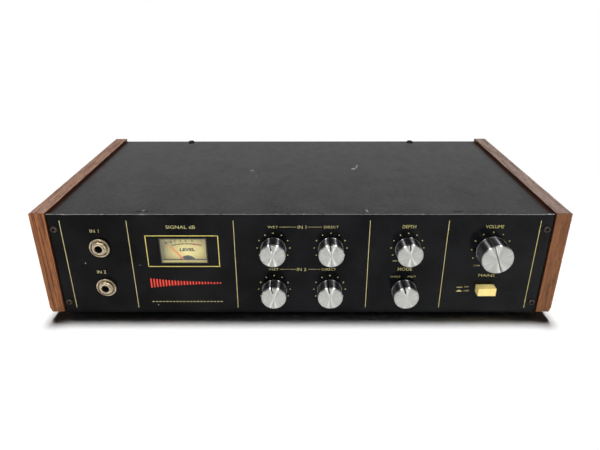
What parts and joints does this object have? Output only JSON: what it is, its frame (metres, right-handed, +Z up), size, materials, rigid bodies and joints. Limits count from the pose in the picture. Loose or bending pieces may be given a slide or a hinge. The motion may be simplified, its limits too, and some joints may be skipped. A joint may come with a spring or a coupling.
{
  "type": "echo unit",
  "caption": "Low table-top echo unit: black steel cabinet between wooden cheeks, with phone jacks, a level meter, turned knobs and a push button on its front.",
  "frame": {"origin": "on the floor, under the middle of the whole unit's box", "axes": "+X to the right as seen from the front, -Y to the front where the knobs are, +Z up"},
  "size_m": [0.442, 0.25, 0.1026],
  "materials": {
    "walnut": "satin oiled",
    "cover_paint": "matt black",
    "panel_paint": "satin black with printed gold legends",
    "grey_paint": "satin black",
    "zinc_steel": "zinc plated",
    "black_screws": "black oxide",
    "rubber_feet": "matt",
    "turned_aluminium": "finely turned",
    "shaft_steel": "ground",
    "nickel": "worn nickel plate",
    "black_plastic": "moulded",
    "cream_plastic": "moulded",
    "pale_plastic": "moulded",
    "clear_window": "clear",
    "dial_paint": "printed card",
    "needle_paint": "satin orange",
    "arbor_brass": "turned",
    "dark_iron": "laminated or sintered iron",
    "lamp_glass": "clear bulb",
    "winding_tape": "taped winding",
    "board_laminate": "phenolic laminate"
  },
  "bodies": {
    "cabinet": {"left_cheek": "walnut", "right_cheek": "walnut", "top_cover": "cover_paint", "front_panel": "panel_paint", "rear_panel": "grey_paint", "bottom_plate": "grey_paint", "left_side_frame": "zinc_steel", "right_side_frame": "zinc_steel", "power_switch_bracket": "zinc_steel", "tank_pan": "zinc_steel", "foot_screws": "zinc_steel", "cheek_screws": "zinc_steel", "chassis_screws": "zinc_steel", "pot_washers": "zinc_steel", "pot_nuts": "zinc_steel", "pot_cases": "zinc_steel", "front_panel_screws": "black_screws", "top_cover_screws": "black_screws", "rear_panel_screws": "black_screws", "feet": "rubber_feet", "power_spring": "shaft_steel", "reverb_springs": "shaft_steel", "jack_washers": "nickel", "jack_nuts": "nickel", "jack_sockets": "black_plastic", "phase_switch_case": "black_plastic", "power_switch_case": "black_plastic", "fuse_holder": "black_plastic", "fuse_cap": "black_plastic", "mains_gland": "black_plastic", "board_capacitors": "black_plastic", "tank_transducers": "black_plastic", "meter_hub_cover": "black_plastic", "meter_case": "pale_plastic", "meter_window": "clear_window", "meter_dial": "dial_paint", "meter_magnet": "dark_iron", "transformer_core": "dark_iron", "meter_lamp": "lamp_glass", "transformer_winding": "winding_tape", "circuit_board": "board_laminate", "board_spacers": "board_laminate"},
    "mic_echo_control": {"mic_echo_knob": "turned_aluminium", "mic_echo_shaft": "shaft_steel"},
    "mic_normal_control": {"mic_normal_knob": "turned_aluminium", "mic_normal_shaft": "shaft_steel"},
    "line_echo_control": {"line_echo_knob": "turned_aluminium", "line_echo_shaft": "shaft_steel"},
    "line_normal_control": {"line_normal_knob": "turned_aluminium", "line_normal_shaft": "shaft_steel"},
    "echo_control": {"echo_knob": "turned_aluminium", "echo_shaft": "shaft_steel"},
    "phase_control": {"phase_knob": "turned_aluminium", "phase_shaft": "shaft_steel"},
    "master_control": {"master_knob": "turned_aluminium", "master_shaft": "shaft_steel"},
    "meter_movement": {"meter_needle": "needle_paint", "meter_arbor": "arbor_brass"},
    "power_push": {"power_button": "cream_plastic", "power_plunger": "black_plastic"}
  },
  "joints": [
    {"name": "mic_echo_turn", "type": "hinge", "parent": "cabinet", "child": "mic_echo_control", "pos_m": [-0.02241, -0.107, 0.07043], "axis": [0, 1, 0], "range_deg": [-137, 163]},
    {"name": "mic_normal_turn", "type": "hinge", "parent": "cabinet", "child": "mic_normal_control", "pos_m": [0.02553, -0.107, 0.07043], "axis": [0, 1, 0], "range_deg": [-144, 156]},
    {"name": "line_echo_turn", "type": "hinge", "parent": "cabinet", "child": "line_echo_control", "pos_m": [-0.02241, -0.107, 0.03008], "axis": [0, 1, 0], "range_deg": [-139, 161]},
    {"name": "line_normal_turn", "type": "hinge", "parent": "cabinet", "child": "line_normal_control", "pos_m": [0.02553, -0.107, 0.03008], "axis": [0, 1, 0], "range_deg": [-140, 160]},
    {"name": "echo_turn", "type": "hinge", "parent": "cabinet", "child": "echo_control", "pos_m": [0.09002, -0.107, 0.07043], "axis": [0, 1, 0], "range_deg": [-145, 155]},
    {"name": "phase_turn", "type": "hinge", "parent": "cabinet", "child": "phase_control", "pos_m": [0.09002, -0.107, 0.03008], "axis": [0, 1, 0], "range_deg": [0, 30]},
    {"name": "master_turn", "type": "hinge", "parent": "cabinet", "child": "master_control", "pos_m": [0.16029, -0.107, 0.06878], "axis": [0, 1, 0], "range_deg": [-130, 170]},
    {"name": "needle_swing", "type": "hinge", "parent": "cabinet", "child": "meter_movement", "pos_m": [-0.09689, -0.104, 0.05221], "axis": [0, 1, 0], "range_deg": [0, 78], "stiffness_Nm_per_rad": 0.0001, "springref_deg": -11.46},
    {"name": "power_press", "type": "slide", "parent": "cabinet", "child": "power_push", "axis": [0, 1, 0], "range_m": [0, 0.004], "stiffness_N_per_m": 300, "springref_m": -0.003, "deforming": ["power_spring"]}
  ]
}
